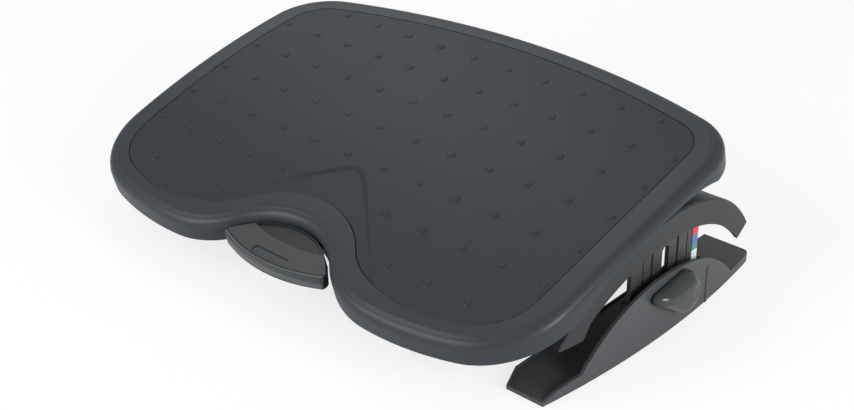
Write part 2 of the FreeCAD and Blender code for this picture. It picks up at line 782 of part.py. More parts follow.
def makeCarrierScrews():
    face = bossLow - 2.0
    return [onPlatform(headZ(x, y, face - screwRise, face)) for x in (-bossX, bossX) for y in bossYs]


def makeSprings():
    """Two folded leaf springs between the carrier's floor and the pedal's arm."""
    low = carrierFloor + 2 + springWire
    high = pedalTop - 11.5 - springWire
    rise = V(0, 0, springWire)
    springs = []
    for x in (-springX, springX):
        folds = [V(x + (springReach if i % 2 else -springReach), springY - springHalf,
                   low + (high - low) * i / springFolds) for i in range(springFolds + 1)]
        leaves = [Part.Face(Part.makePolygon([a - rise, b - rise, b + rise, a + rise, a - rise])).extrude(
            V(0, 2 * springHalf, 0)) for a, b in zip(folds, folds[1:])]
        springs.append(onPlatform(leaves[0].fuse(leaves[1:])))
    return springs


# Feet
footCorner = 8.0
padHalf = 6.0
padSeat = 1.0
padPlaces = ((252.0, -112.0), (238.0, -60.0), (262.0, 60.0), (252.0, 156.0))


def padBlock(x, y, low, high, half):
    return box(x - half, x + half, y - half, y + half, low, high)


def footEdgeX(y, inset=0.0):
    return footX - footBow + math.sqrt((footBow - inset) ** 2 - (y - footBowY) ** 2)


def footPrism(low, high, inset=0.0):
    front = footFront + inset
    rear = footRear - inset
    inner = footInner + inset
    points = [V(footEdgeX(rear, inset), rear, 0), V(inner, rear, 0), V(inner, footChamferY, 0),
              V(footToeX + inset, front, 0), V(footEdgeX(front, inset), front, 0)]
    edges = [Part.LineSegment(a, b).toShape() for a, b in zip(points, points[1:])]
    edges.append(arcThrough(points[-1], V(footX - inset, footBowY, 0), points[0]))
    face = Part.Face(Part.Wire(edges))
    face.translate(V(0, 0, low))
    solid = face.extrude(V(0, 0, high - low))
    corner = [e for e in solid.Edges if abs(e.CenterOfMass.y - rear) < 0.01
              and abs(e.CenterOfMass.x - points[0].x) < 0.01]
    return solid.makeFillet(max(footCorner - inset, 1.0), corner)


def cheekProfile():
    """The space under the cheek's upper edge, seen from the side."""
    frontZ = cheekTop - cheekFrontR
    rearZ = cheekTop - cheekRearR
    kink = V(0, kinkY, frontZ + math.sqrt(cheekFrontR ** 2 - (kinkY - cheekFrontY) ** 2))
    crest = V(0, cheekFrontY, cheekTop)
    crestRear = V(0, cheekRearY, cheekTop)
    meet = V(0, cheekRearY + math.sqrt(cheekRearR ** 2 - (deckZ - rearZ) ** 2), deckZ)
    middle = 0.5 * (kinkY + cheekFrontY)
    halfway = V(0, middle, frontZ + math.sqrt(cheekFrontR ** 2 - (middle - cheekFrontY) ** 2))
    middle = 0.5 * (cheekRearY + meet.y)
    halfRear = V(0, middle, rearZ + math.sqrt(cheekRearR ** 2 - (middle - cheekRearY) ** 2))
    low = padHeight
    points = [meet, V(0, footRear, deckZ), V(0, footRear, low), V(0, footFront, low),
              V(0, footFront, low + footFloor + 0.4), V(0, lipY, lipZ), kink]
    edges = [Part.LineSegment(a, b).toShape() for a, b in zip(points, points[1:])]
    edges.append(arcThrough(kink, halfway, crest))
    edges.append(Part.LineSegment(crest, crestRear).toShape())
    edges.append(arcThrough(crestRear, halfRear, meet))
    return Part.Face(Part.Wire(edges)).extrude(V(100, 0, 0))


def makeFoot():
    low = padHeight
    top = low + footFloor
    floor = footPrism(low, top).cut(box(200, 300, deckFront + 3, 300, -5, 50))
    rim = footPrism(low, top + 1.4).cut(footPrism(low - 1, top + 5, 1.6)).cut(
        box(200, 300, deckFront, 300, -5, 50))
    profile = cheekProfile()
    profile.translate(V(200, 0, 0))
    cheek = footPrism(low, cheekTop + 5).cut(footPrism(low - 1, cheekTop + 9, footWall))
    cheek = cheek.common(profile).common(box(footX - 25, 300, -200, 200, -5, 90))
    deck = footPrism(low, deckZ).common(box(200, 300, deckFront, 300, -5, 50))
    deck = deck.cut(footPrism(low - 1, deckZ - footFloor, footWall).common(
        box(200, 300, deckFront + 3, 300, -5, 50)))
    parts = [rim, cheek, deck]
    for x, y in padPlaces:
        if y > deckFront:
            parts.append(padBlock(x, y, low, deckZ - 1.0, padHalf + 1.6))
    for y, s in ((rackY - rackHalf - guideGap, -1), (rackY + rackHalf + guideGap, 1)):
        y0, y1 = sorted((y - s * 3.0, y + s * 3.0))
        guide = box(rackX - rackThickness - 3.4, rackX + 3.8, y0, y1, low, guideTop)
        y0, y1 = sorted((y, y - s * 10))
        parts.append(guide.cut(box(rackX - rackThickness - 0.4, rackX + 0.8, y0, y1, top, guideTop + 1)))
        y0, y1 = sorted((y, y + s * 3.0))
        parts.append(box(rackX + 3, footX - 1.5, y0, y1, low, guideTop - 4))
    for y in (-75.0, -45.0, 105.0):
        gusset = box(footX - 16, footX + 3, y - 1, y + 1, low, 15.0).common(footPrism(low, 60, 0.5)).common(profile)
        parts.append(gusset)
    body = floor.fuse(parts)
    for x, y in padPlaces:
        body = body.cut(padBlock(x, y, 0, low + padSeat, padHalf + 0.1))
    body = body.cut(rodX(footX - 10, footX + 5, knobY, knobZ, bushRadius + 0.05))
    return body.removeSplitter()


def makePads():
    return [padBlock(x, y, 0, padHeight + padSeat, padHalf) for x, y in padPlaces]


def leafFace(x, inset):
    """Knob outline across X: a round end and a pointed end joined by tangents."""
    r1 = knobRound - inset
    r2 = max(knobNose - 0.35 * inset, 1.4)
    shift = inset * 0.75 / math.hypot(knobNoseY - knobRoundY, knobNoseZ - knobRoundZ)
    y2 = knobNoseY + (knobRoundY - knobNoseY) * shift
    z2 = knobNoseZ + (knobRoundZ - knobNoseZ) * shift
    dy = y2 - knobRoundY
    dz = z2 - knobRoundZ
    along = math.atan2(dz, dy)
    swing = math.acos((r1 - r2) / math.hypot(dy, dz))

    def spot(y, z, r, a):
        return V(x, y + r * math.cos(a), z + r * math.sin(a))
    big = [spot(knobRoundY, knobRoundZ, r1, along + k) for k in (swing, math.pi, -swing)]
    small = [spot(y2, z2, r2, along + k) for k in (-swing, 0, swing)]
    edges = [arcThrough(*big), Part.LineSegment(big[2], small[0]).toShape(), arcThrough(*small),
             Part.LineSegment(small[2], big[0]).toShape()]
    return Part.Wire(edges)


def makeKnob():
    top = knobBase + knobHeight
    body = Part.Face(leafFace(knobBase, 0)).extrude(V(knobHeight, 0, 0))
    body = body.makeChamfer(knobEdge, [e for e in body.Edges if e.BoundBox.XMin > top - 0.01])
    length = V(0, knobRoundY - knobNoseY, knobRoundZ - knobNoseZ)
    start = V(top - knobCrown, knobRoundY, knobRoundZ) - length * 2
    body = body.common(Part.makeCylinder(knobCrown, 5 * length.Length, start, length))
    return body.cut(rodX(knobBase - 1, knobBase + 9, knobY, knobZ, studRadius + 0.02))


def makeStud():
    x = rackX - rackThickness - 0.3 - washerThickness - 0.02
    rod = rodX(x - 1, knobBase + 8.5, knobY, knobZ, studRadius)
    points = [V(x - studHead, knobY + studHeadRadius * math.cos(math.radians(a)),
                knobZ + studHeadRadius * math.sin(math.radians(a))) for a in range(0, 361, 60)]
    head = Part.Face(Part.makePolygon(points)).extrude(V(studHead, 0, 0))
    return rod.fuse(head)


def makeWasher():
    x = rackX - rackThickness - 0.3
    return rodX(x - washerThickness, x, knobY, knobZ, washerRadius).cut(
        rodX(x - 5, x + 5, knobY, knobZ, studRadius + 0.05))


def makeBush():
    ring = rodX(footX - footWall - 0.6, footX + 1.4, knobY, knobZ, bushRadius)
    return ring.cut(rodX(footX - 20, footX + 20, knobY, knobZ, studRadius + runningGap))


def makeJaw():
    tip = rackX + jawGap
    base = tip + toothCut + 1.2
    reach = toothOffset + toothWidth + 2.0
    high = jawTeeth * toothPitch
    body = box(base, base + jawThickness, knobY - reach, knobY + reach, knobZ - high - 1.5, knobZ + high + 1.5)
    for s in (-1, 1):
        body = body.fuse(toothSlab(knobY + s * toothOffset, knobZ - high, knobZ + high, tip, base + 1, 0.2))
    body = body.cut(rodX(tip - 5, base + 20, knobY, knobZ, studRadius + 0.1))
    return body.removeSplitter()


save("platform_shell", makeShell())
save("foot_mat", makeMat())
for x, name in ((-198.0, "left_outer"), (-52.0, "left_inner"), (52.0, "right_inner"), (198.0, "right_outer")):
    save(name + "_pivot_cap", makeCap(x))
save("pivot_cap_screws", makeCapScrews())
bracket = makeBracket()
rack = makeRack()
strip = makeStrip()
save("right_bracket", bracket)
save("left_bracket", mirrored(bracket))
save("right_rack_plate", rack)
save("left_rack_plate", mirrored(rack))
save("right_height_strip", strip)
save("left_height_strip", mirrored(strip))
save("rack_screws", makeRackScrews())
save("cross_beam", makeBeam())
save("beam_screws", makeBeamScrews())
save("tilt_axle", makeAxle())
save("axle_clips", makeClips())
save("brake_quadrant", makeQuadrant())
save("quadrant_screws", makeQuadrantScrews())
save("brake_lining", makeLining())
save("brake_slider", makeSlider())
save("pedal", makePedal())
save("pedal_pin", makePedalPin())
save("pedal_carrier", makeCarrier())
save("carrier_screws", makeCarrierScrews())
save("pedal_springs", makeSprings())
sideParts = {"foot": makeFoot(), "foot_pads": makePads(), "knob": makeKnob(), "clamp_stud": makeStud(),
             "clamp_washer": makeWasher(), "knob_bushing": makeBush(), "clamp_jaw": makeJaw()}
for name, shape in sideParts.items():
    if isinstance(shape, list):
        shape = Part.makeCompound(shape)
    save("right_" + name, shape)
    save("left_" + name, mirrored(shape))
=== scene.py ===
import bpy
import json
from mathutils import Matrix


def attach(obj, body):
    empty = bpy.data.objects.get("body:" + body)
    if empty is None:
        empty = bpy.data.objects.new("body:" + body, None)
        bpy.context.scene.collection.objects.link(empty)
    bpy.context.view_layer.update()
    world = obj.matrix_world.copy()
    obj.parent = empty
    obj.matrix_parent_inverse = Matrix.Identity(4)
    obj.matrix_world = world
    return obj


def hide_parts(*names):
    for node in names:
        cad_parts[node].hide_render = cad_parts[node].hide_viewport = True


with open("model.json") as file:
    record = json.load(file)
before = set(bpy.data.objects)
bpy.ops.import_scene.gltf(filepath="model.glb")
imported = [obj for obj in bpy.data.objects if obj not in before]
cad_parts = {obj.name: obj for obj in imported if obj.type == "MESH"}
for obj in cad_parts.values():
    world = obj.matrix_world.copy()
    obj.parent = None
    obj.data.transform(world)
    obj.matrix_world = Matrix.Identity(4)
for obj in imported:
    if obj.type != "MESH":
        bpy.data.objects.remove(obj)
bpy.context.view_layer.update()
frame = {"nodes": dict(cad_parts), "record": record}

import json
import math
import bpy
import numpy as np
from mathutils import Matrix, Vector

nodes = frame["nodes"]
print("frame loaded:", len(nodes), "nodes")

# The camera: its place in metres, and the directions of its right and upper sides
camera = {"place": (0.8629, -0.9037, 0.7145), "lens": 62.38, "sensor": 36.0,
          "right": (0.7389, 0.67365, -0.01474), "up": (-0.31364, 0.3632, 0.87733)}


def makeCamera():
    data = bpy.data.cameras.new("camera")
    data.lens = camera["lens"]
    data.sensor_width = camera["sensor"]
    eye = bpy.data.objects.new("camera", data)
    right = Vector(camera["right"]).normalized()
    up = Vector(camera["up"])
    up = (up - right * up.dot(right)).normalized()
    turn = Matrix((right, up, right.cross(up))).transposed()
    eye.matrix_world = Matrix.Translation(camera["place"]) @ turn.to_4x4()
    bpy.context.scene.collection.objects.link(eye)
    bpy.context.scene.camera = eye


# Floor, sky and lamps. Each lamp: name, place and diameter in metres, power in watts
stage = {"floorSize": 12.0, "floorColor": (0.95, 0.95, 0.95), "floorGlow": 0.78, "skyLevel": 0.42,
         "lamps": [("key", (-0.9, -1.9, 1.2), 1.7, 37.0),
                   ("side", (2.0, -0.1, 0.8), 0.9, 27.0),
                   ("top", (-1.2, 0.9, 1.6), 1.2, 6.0)]}
white = (1, 1, 1, 1)


def makeFloor():
    half = stage["floorSize"] / 2
    corners = [(-half, -half, 0), (half, -half, 0), (half, half, 0), (-half, half, 0)]
    mesh = bpy.data.meshes.new("floor")
    mesh.from_pydata(corners, [], [(0, 1, 2, 3)])
    floor = bpy.data.objects.new("floor", mesh)
    bpy.context.scene.collection.objects.link(floor)
    # the camera sees the floor part lit and part white, so that its shadows stay, but soft
    paint = Paint("floor")
    seen = paint.node("ShaderNodeLightPath")["Is Camera Ray"]
    glow = paint.node("ShaderNodeEmission", Color=white, Strength=1.0)["Emission"]
    plain = paint.node("ShaderNodeBsdfDiffuse", Color=(*stage["floorColor"], 1))["BSDF"]
    share = seen * stage["floorGlow"]
    paint.finishWith(paint.node("ShaderNodeMixShader", [share, plain, glow])["Shader"])
    mesh.materials.append(paint.material)


def makeSky():
    sky = bpy.data.worlds.new("studio")
    sky.use_nodes = True
    tree = sky.node_tree
    dim = tree.nodes["Background"]
    bright = tree.nodes.new("ShaderNodeBackground")
    dim.inputs["Strength"].default_value = stage["skyLevel"]
    for shade in (dim, bright):
        shade.inputs["Color"].default_value = white
    # past the floor's edge the camera sees plain white
    rays = tree.nodes.new("ShaderNodeLightPath")
    blend = tree.nodes.new("ShaderNodeMixShader")
    tree.links.new(rays.outputs["Is Camera Ray"], blend.inputs[0])
    tree.links.new(dim.outputs[0], blend.inputs[1])
    tree.links.new(bright.outputs[0], blend.inputs[2])
    tree.links.new(blend.outputs[0], tree.nodes["World Output"].inputs["Surface"])
    bpy.context.scene.world = sky


def makeLamps():
    for name, place, size, power in stage["lamps"]:
        data = bpy.data.lights.new(name, "AREA")
        data.shape = "DISK"
        data.size = size
        data.energy = power
        lamp = bpy.data.objects.new(name, data)
        lamp.location = place
        lamp.rotation_mode = "QUATERNION"
        lamp.rotation_quaternion = (-Vector(place)).to_track_quat("-Z", "Y")
        bpy.context.scene.collection.objects.link(lamp)


# Shader maths: a wrapped socket that adds Math nodes when it is used in an expression
class Val:
    def __init__(self, paint, socket):
        self.paint = paint
        self.socket = socket

    def mathNode(self, operation, *values):
        return self.paint.node("ShaderNodeMath", values, operation=operation)["Value"]

    def __add__(self, other):
        return self.mathNode("ADD", self, other)

    def __radd__(self, other):
        return self.mathNode("ADD", other, self)

    def __sub__(self, other):
        return self.mathNode("SUBTRACT", self, other)

    def __rsub__(self, other):
        return self.mathNode("SUBTRACT", other, self)

    def __mul__(self, other):
        return self.mathNode("MULTIPLY", self, other)

    def __rmul__(self, other):
        return self.mathNode("MULTIPLY", other, self)

    def __truediv__(self, other):
        return self.mathNode("DIVIDE", self, other)

    def __rtruediv__(self, other):
        return self.mathNode("DIVIDE", other, self)

    def __gt__(self, other):
        return self.mathNode("GREATER_THAN", self, other)

    def __lt__(self, other):
        return self.mathNode("LESS_THAN", self, other)

    def __abs__(self):
        return self.mathNode("ABSOLUTE", self)

    def root(self):
        return self.mathNode("SQRT", self)


# A shader node whose outputs are read by name as wrapped sockets
class Made:
    def __init__(self, paint, made):
        self.paint = paint
        self.made = made

    def __getitem__(self, name):
        return Val(self.paint, self.made.outputs[name])


class Paint:
    def __init__(self, name):
        self.material = bpy.data.materials.new(name)
        self.material.use_nodes = True
        self.tree = self.material.node_tree
        self.tree.nodes.clear()
        self.output = self.tree.nodes.new("ShaderNodeOutputMaterial")

    def plug(self, target, value):
        if isinstance(value, Val):
            self.tree.links.new(value.socket, target)
        else:
            target.default_value = value

    # names that the node has as settings go first; the rest are its sockets
    def node(self, kind, values=(), **named):
        made = self.tree.nodes.new(kind)
        settings = [key for key in named if hasattr(made, key)]
        for key in settings:
            setattr(made, key, named[key])
        for index, value in enumerate(values):
            self.plug(made.inputs[index], value)
        for key, value in named.items():
            if key not in settings:
                self.plug(made.inputs[key.replace("_", " ")], value)
        return Made(self, made)

    # a Mix node's color sockets share their names with others, so they are reached by number
    def mixColor(self, factor, first, second):
        made = self.tree.nodes.new("ShaderNodeMix")
        made.data_type = "RGBA"
        for index, value in ((0, factor), (6, first), (7, second)):
            self.plug(made.inputs[index], value)
        return Val(self, made.outputs[2])

    def finishWith(self, value):
        self.tree.links.new(value.socket, self.output.inputs["Surface"])

    def surface(self, color, roughness, height=None, strength=0.0, distance=0.0, **fixed):
        shader = self.node("ShaderNodeBsdfPrincipled", Base_Color=color, Roughness=roughness, **fixed)
        if height is not None:
            bump = self.node("ShaderNodeBump", Height=height, Strength=strength, Distance=distance)
            self.plug(shader.made.inputs["Normal"], bump["Normal"])
        self.finishWith(shader["BSDF"])
        return self.material

    def place(self):
        return self.node("ShaderNodeTexCoord")["Object"]

    def noise(self, scale, detail, roughness=0.5):
        return self.node("ShaderNodeTexNoise", Vector=self.place(), Scale=scale, Detail=detail,
                         Roughness=roughness)["Fac"]

    def cellEdges(self, scale):
        return self.node("ShaderNodeTexVoronoi", feature="DISTANCE_TO_EDGE", Vector=self.place(),
                         Scale=scale)["Distance"]


# Moulded plastic: scales in cycles per metre, bump depth in metres
spark = {"cloudScale": 9.0, "scale": 2600.0, "detail": 2.0, "rough": 0.6,
         "glossSpread": 0.08, "strength": 0.12, "depth": 0.00008}
# Leather grain of the mat
leather = {"warpScale": 160.0, "cellScale": 620.0, "fineScale": 1900.0, "cloudScale": 7.0,
           "cellShare": 1.4, "fineShare": 0.35, "warpShare": 0.2,
           "glossSpread": 0.12, "strength": 0.35, "depth": 0.00025}


def moulded(name, dark, light, roughness, **fixed):
    # two shades blended by a slow noise that also varies the gloss, a fine spark texture as bump
    paint = Paint(name)
    cloud = paint.noise(spark["cloudScale"], 3.0)
    color = paint.mixColor(cloud, (*dark, 1), (*light, 1))
    grain = paint.noise(spark["scale"], spark["detail"], spark["rough"])
    gloss = cloud * spark["glossSpread"] + (roughness - spark["glossSpread"] / 2)
    return paint.surface(color, gloss, grain, spark["strength"], spark["depth"], **fixed)


def grained(name, dark, light, roughness, **fixed):
    # the borders of small uneven cells sink, a finer noise breaks the tops
    paint = Paint(name)
    warp = paint.noise(leather["warpScale"], 3.0)
    cells = paint.cellEdges(leather["cellScale"])
    fine = paint.noise(leather["fineScale"], 3.0, 0.6)
    height = cells * leather["cellShare"] + fine * leather["fineShare"] + warp * leather["warpShare"]
    color = paint.mixColor(paint.noise(leather["cloudScale"], 4.0), (*dark, 1), (*light, 1))
    gloss = roughness + (fine - 0.5) * leather["glossSpread"]
    return paint.surface(color, gloss, height, leather["strength"], leather["depth"], **fixed)


# Moulded finishes by slot: dark shade, light shade, roughness, and what else is fixed
mouldedSlots = {
    "shell_plastic": ((0.030, 0.036, 0.043), (0.035, 0.042, 0.050), 0.38, {"Specular_IOR_Level": 0.25}),
    "bracket_plastic": ((0.026, 0.028, 0.031), (0.033, 0.035, 0.039), 0.44, {"Specular_IOR_Level": 0.3}),
    "rack_plastic": ((0.045, 0.042, 0.041), (0.055, 0.051, 0.050), 0.5, {}),
    "foot_plastic": ((0.052, 0.056, 0.061), (0.062, 0.066, 0.071), 0.40, {"Specular_IOR_Level": 0.4}),
    "knob_plastic": ((0.032, 0.037, 0.037), (0.040, 0.045, 0.045), 0.26, {}),
    "inner_plastic": ((0.02, 0.021, 0.022), (0.026, 0.027, 0.029), 0.5, {}),
    "pad_rubber": ((0.012, 0.012, 0.012), (0.018, 0.018, 0.018), 0.8, {}),
    "lining_rubber": ((0.07, 0.03, 0.022), (0.09, 0.04, 0.03), 0.85, {}),
    "steel": ((0.52, 0.52, 0.53), (0.6, 0.6, 0.61), 0.3, {"Metallic": 1.0}),
}
finishes = {}


def makeFinishes():
    for slot, (dark, light, roughness, fixed) in mouldedSlots.items():
        finishes[slot] = moulded(slot, dark, light, roughness, **fixed)
    finishes["mat_rubber"] = grained("mat_rubber", (0.020, 0.025, 0.029), (0.025, 0.031, 0.036), 0.47,
                                     Specular_IOR_Level=0.26)
    finishes["pedal_plastic"] = pedalFinish()
    finishes["height_strip"] = stripFinish()


# Height strip: where each colour band ends above the floor, from the lowest up, and its colour
strip = {"bands": [(0.0535, (0.80, 0.85, 0.84)), (0.0592, (0.02, 0.32, 0.13)),
                   (0.0697, (0.11, 0.14, 0.42)), (1.0, (0.72, 0.035, 0.035))],
         "roughness": 0.35}


def stripFinish():
    paint = Paint("height_strip")
    height = paint.node("ShaderNodeSeparateXYZ", [paint.place()])["Z"]
    bands = strip["bands"]
    color = (*bands[0][1], 1)
    for (edge, _), (_, shade) in zip(bands, bands[1:]):
        color = paint.mixColor(height > edge, color, (*shade, 1))
    return paint.surface(color, strip["roughness"])


# Pedal, seen from above: one arc ends the front zone, and behind it the sloped, recessed rear zone that runs
# under the platform is darkened as painted shade; along the front edge's arc a groove is painted as a dark
# line of painted shade with a light line of painted highlight beside it
pedal = {"creaseY": 0.011, "creaseR": 0.170, "frontY": -0.0156, "frontR": 0.1729,
         "groove": 0.0050, "grooveHalf": 0.0007, "shineStep": 2.2, "roughness": 0.36,
         "front": (0.040, 0.044, 0.048), "rear": (0.014, 0.016, 0.017),
         "line": (0.008, 0.009, 0.010), "shine": (0.085, 0.092, 0.098)}


def pedalFinish():
    paint = Paint("pedal_plastic")
    place = paint.node("ShaderNodeSeparateXYZ", [paint.place()])
    x = place["X"]
    y = place["Y"]

    # distance outside a circle round (0, middle)
    def ring(middle, radius):
        return (x * x + (y - middle) * (y - middle)).root() - radius

    half = pedal["grooveHalf"]
    # painted shade: behind the crease arc the colour is darkened where the rear of the pedal slopes down
    # under the platform
    paintedShadeZone = ring(pedal["creaseY"], pedal["creaseR"]) < 0.0
    color = paint.mixColor(paintedShadeZone, (*pedal["front"], 1), (*pedal["rear"], 1))
    # painted shade: a dark line is painted in colour where the groove along the front edge lies
    groove = ring(pedal["frontY"], pedal["frontR"] - pedal["groove"])
    color = paint.mixColor(abs(groove) < half, color, (*pedal["line"], 1))
    # painted highlight: a light line is painted beside the groove, where its lip would catch the light
    paintedHighlightRing = groove - pedal["shineStep"] * half
    color = paint.mixColor(abs(paintedHighlightRing) < half, color, (*pedal["shine"], 1))
    grain = paint.noise(spark["scale"], spark["detail"], spark["rough"])
    return paint.surface(color, pedal["roughness"], grain, spark["strength"], spark["depth"],
                         Specular_IOR_Level=0.3)


def dressNodes():
    slots = {part["node"]: part["material_slot"] for part in frame["record"]["subparts"]}
    for name, thing in nodes.items():
        thing.data.materials.clear()
        thing.data.materials.append(finishes[slots[name]])


# The platform's own frame: u runs up its slope from front to back, w stands on it
platform = {"tilt": math.radians(13.8), "y": -0.0076, "z": 0.1125, "crown": 1.46}
# Its outline and the mat's, from the back to the front: each arc's radius and where it lies
outerEdge = {"back": 0.194, "backR": 0.842, "half": 0.280, "sideR": 2.024, "sideY": -0.004,
             "lobeX": 0.136, "lobeY": 0.131, "lobeR": 0.321, "notchY": -0.1365, "notchR": 0.080,
             "rearCornerR": 0.068, "frontCornerR": 0.082, "shoulderR": 0.092}
matEdge = {"back": 0.170, "backR": 0.818, "half": 0.2535, "sideR": 2.000, "sideY": -0.004,
           "lobeX": 0.157, "lobeY": -0.008, "lobeR": 0.161, "notchY": -0.1075, "notchR": 0.096,
           "rearCornerR": 0.044, "frontCornerR": 0.053, "shoulderR": 0.070}
# Points on each arc of half an outline: back, rear corner, side, front corner, lobe, shoulder, notch
arcSteps = (30, 22, 40, 24, 16, 18, 20)


def toWorld(x, u, w):
    c = math.cos(platform["tilt"])
    s = math.sin(platform["tilt"])
    x, u, w = np.broadcast_arrays(x, u, w)
    return np.stack([x, platform["y"] + u * c - w * s, platform["z"] + u * s + w * c], axis=-1)


def crownLift(u):
    # height of the crown: a circle of the crown's radius through w = 0 at u = 0
    return np.sqrt(platform["crown"] ** 2 - u ** 2) - platform["crown"]


def circleMeet(first, firstR, second, secondR, prefer):
    # the crossing of two circles that lies furthest along the preferred direction
    gap = second - first
    reach = np.hypot(*gap)
    along = (firstR ** 2 - secondR ** 2 + reach ** 2) / (2 * reach)
    side = math.sqrt(max(firstR ** 2 - along ** 2, 0.0))
    ahead = gap / reach
    across = np.array([-ahead[1], ahead[0]])
    crossings = (first + ahead * along + across * side, first + ahead * along - across * side)
    return max(crossings, key=lambda point: point @ np.array(prefer))


def arcCentres(dims):
    # centres of the seven arcs of half an outline; each rounding touches its two neighbours
    def inside(name, corner):
        return dims[name] - dims[corner]

    back = np.array([0, dims["back"] - dims["backR"]])
    side = np.array([dims["half"] - dims["sideR"], dims["sideY"]])
    lobe = np.array([dims["lobeX"], dims["lobeY"]])
    notch = np.array([0, dims["notchY"] - dims["notchR"]])
    rear = circleMeet(back, inside("backR", "rearCornerR"), side, inside("sideR", "rearCornerR"), (1, 1))
    front = circleMeet(side, inside("sideR", "frontCornerR"), lobe, inside("lobeR", "frontCornerR"), (1, -1))
    shoulder = circleMeet(lobe, inside("lobeR", "shoulderR"), notch, dims["notchR"] + dims["shoulderR"],
                          (1, -0.5))
    return back, rear, side, front, lobe, shoulder, notch


def outlineLoop(dims):
    # a closed outline as points and outward directions, clockwise from the middle of the back
    names = ("backR", "rearCornerR", "sideR", "frontCornerR", "lobeR", "shoulderR", "notchR")
    signs = (1, 1, 1, 1, 1, 1, -1)
    chain = [(centre, dims[name], sign) for centre, name, sign in zip(arcCentres(dims), names, signs)]
    starts = [math.pi / 2]
    ends = []
    for (first, firstR, _), (second, secondR, sign) in zip(chain, chain[1:]):
        ahead = second - first if sign < 0 or firstR > secondR else first - second
        angle = math.atan2(ahead[1], ahead[0])
        ends.append(angle)
        starts.append(angle + math.pi if sign < 0 else angle)
    ends.append(math.pi / 2)
    points = []
    normals = []
    for (centre, radius, sign), start, end, steps in zip(chain, starts, ends, arcSteps):
        swing = (end - start + math.pi) % (2 * math.pi) - math.pi
        angles = start + swing * np.arange(steps) / steps
        ray = np.stack([np.cos(angles), np.sin(angles)], axis=1)
        points.append(centre + radius * ray)
        normals.append(sign * ray)
    points = np.concatenate([*points, [[0, dims["notchY"]]]])
    normals = np.concatenate([*normals, [[0, -1.0]]])
    flip = np.array([-1, 1])
    return (np.concatenate([points, points[-2:0:-1] * flip]),
            np.concatenate([normals, normals[-2:0:-1] * flip]))


def addPiece(name, points, faces, body, slot, replaced=(), sharp=40.0):
    mesh = bpy.data.meshes.new(name)
    mesh.from_pydata(points.tolist(), [], faces)
    mesh.update()
    mesh.shade_smooth()
    mesh.set_sharp_from_angle(angle=math.radians(sharp))
    mesh.materials.append(finishes[slot])
    piece = bpy.data.objects.new(name, mesh)
    bpy.context.scene.collection.objects.link(piece)
    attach(piece, body)
    if replaced:
        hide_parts(*replaced)


def gridFaces(rows, columns):
    # quads between neighbouring rows; the last column joins the first
    r, c = np.meshgrid(np.arange(rows - 1), np.arange(columns), indexing="ij")
    n = (c + 1) % columns
    quads = [r * columns + c, r * columns + n, (r + 1) * columns + n, (r + 1) * columns + c]
    return np.stack(quads, axis=-1).reshape(-1, 4)


# Rim: height of its side wall, round of its upper edge, and the skin's stand over the solid.
# Beyond archInner the wall stops at the arch under it: each of its two arcs as y, z and radius
rim = {"edge": 0.022, "roll": 0.0093, "skin": 0.00003, "bandRows": 12, "rollRows": 11, "wallRows": 5,
       "wallTries": 60, "archInner": 0.229, "archFront": (0.0365, -0.085, 0.1965),
       "archRear": (0.07180, -0.04573, 0.1615)}


def archHeight(y):
    arcs = (rim["archFront"], rim["archRear"])
    return np.maximum(*(z + np.sqrt(np.maximum(r * r - (y - middle) ** 2, 0.0)) for middle, z, r in arcs))


def makeRim():
    outer, out = outlineLoop(outerEdge)
    inner, _ = outlineLoop(matEdge)
    roll = rim["roll"]
    skin = rim["skin"]
    lift = crownLift(outer[:, 1])
    rows = []
    # flat band from the seam to the round
    for t in np.linspace(0.0, 1.0, rim["bandRows"])[:-1]:
        flat = inner * (1 - t) + (outer - roll * out) * t
        rows.append((flat, crownLift(flat[:, 1]) + skin))
    # rolled edge: a quarter circle between the crown and the wall
    for a in np.linspace(0.0, math.pi / 2, rim["rollRows"]):
        flat = outer + out * (skin - roll * (1 - math.sin(a)))
        rows.append((flat, lift - roll * (1 - math.cos(a)) + skin * math.cos(a)))
    # side wall, down to the open bottom or to where the arch passes
    wall = outer + out * skin
    low = lift - rim["edge"]
    for drop in np.linspace(-rim["edge"], -roll, rim["wallTries"]):
        spot = toWorld(wall[:, 0], wall[:, 1], lift + drop)
        under = (spot[:, 2] < archHeight(spot[:, 1])) & (np.abs(wall[:, 0]) > rim["archInner"])
        low = np.where(under, lift + drop, low)
    top = lift - roll
    for t in np.linspace(0.0, 1.0, rim["wallRows"])[1:]:
        rows.append((wall, top + (low - top) * t))
    points = np.concatenate([toWorld(flat[:, 0], flat[:, 1], w) for flat, w in rows])
    faces = gridFaces(len(rows), len(outer)).tolist()
    addPiece("platform_rim", points, faces, "platform", "shell_plastic")


# Mat: its seam, thickness and rounded border, and the rings that close on its middle
mat = {"gap": 0.00045, "depth": 0.0025, "lift": 0.0003, "border": 0.0009, "borderRows": 7,
       "rings": 110, "middle": (0.0, 0.030)}
# Dots in slanted rows; a dome's height falls with the power of 1 - r^2, and its foot is sunk
dots = {"pitchX": 0.0444, "pitchY": 0.04575, "rowY": -0.0033, "radius": 0.0042, "height": 0.0011,
        "power": 0.6, "sink": 0.00005, "turns": 28, "rings": 8, "innerShare": 0.12}
# Sunken fan between two creases that spread from a rounded apex to the notch
fan = {"apex": -0.058, "depth": 0.0013, "soft": 0.0030, "round": 0.010, "fade": 0.050, "fadeShare": 0.7}


def dotPlaces():
    # seven rows of up to twelve, without those that would cross the outline or the fan
    places = []
    for row in range(-3, 4):
        for column in range(-6, 6):
            reach = abs(column + 0.5)
            cornered = row == 3 and reach > 5
            fanned = row == -2 and reach < 1
            frontal = row == -3 and not 2 < reach < 5
            if not (cornered or fanned or frontal):
                places.append(((column + 0.5) * dots["pitchX"], dots["rowY"] + row * dots["pitchY"]))
    return places


